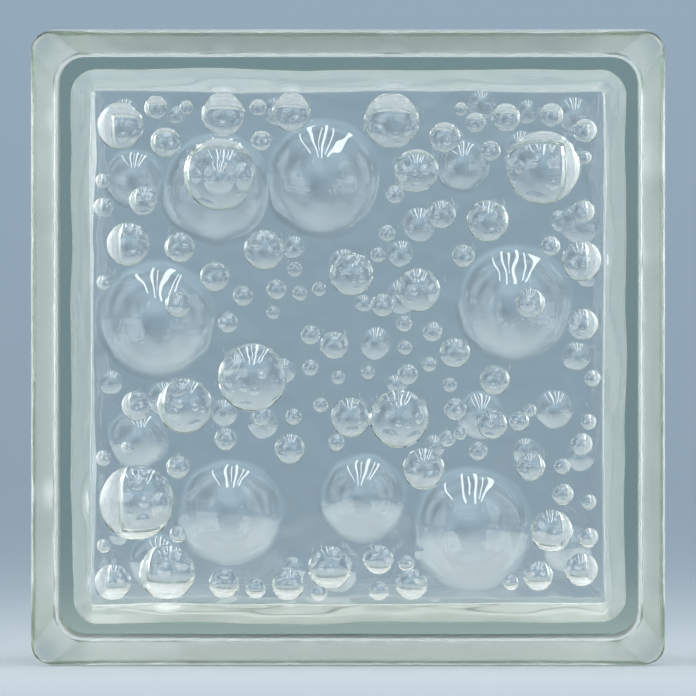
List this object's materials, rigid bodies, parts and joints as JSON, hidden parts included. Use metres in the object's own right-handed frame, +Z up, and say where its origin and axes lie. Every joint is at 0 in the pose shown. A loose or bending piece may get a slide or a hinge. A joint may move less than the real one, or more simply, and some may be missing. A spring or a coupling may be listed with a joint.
{
  "type": "glass block",
  "caption": "Square hollow glass block with smooth faces, round bubbles pressed into the inner faces and a mortar channel round its sides, for light walls and windows.",
  "frame": {"origin": "on the floor under the middle of the block, as it stands on its bottom rims", "axes": "+X across the face to the right, +Y from the front face to the rear face, +Z up"},
  "size_m": [0.19, 0.08, 0.19],
  "materials": {
    "clear_glass": "clear pressed glass with a faint green tint, smooth and glossy"
  },
  "bodies": {
    "root": {"glass_block": "clear_glass"}
  },
  "joints": []
}
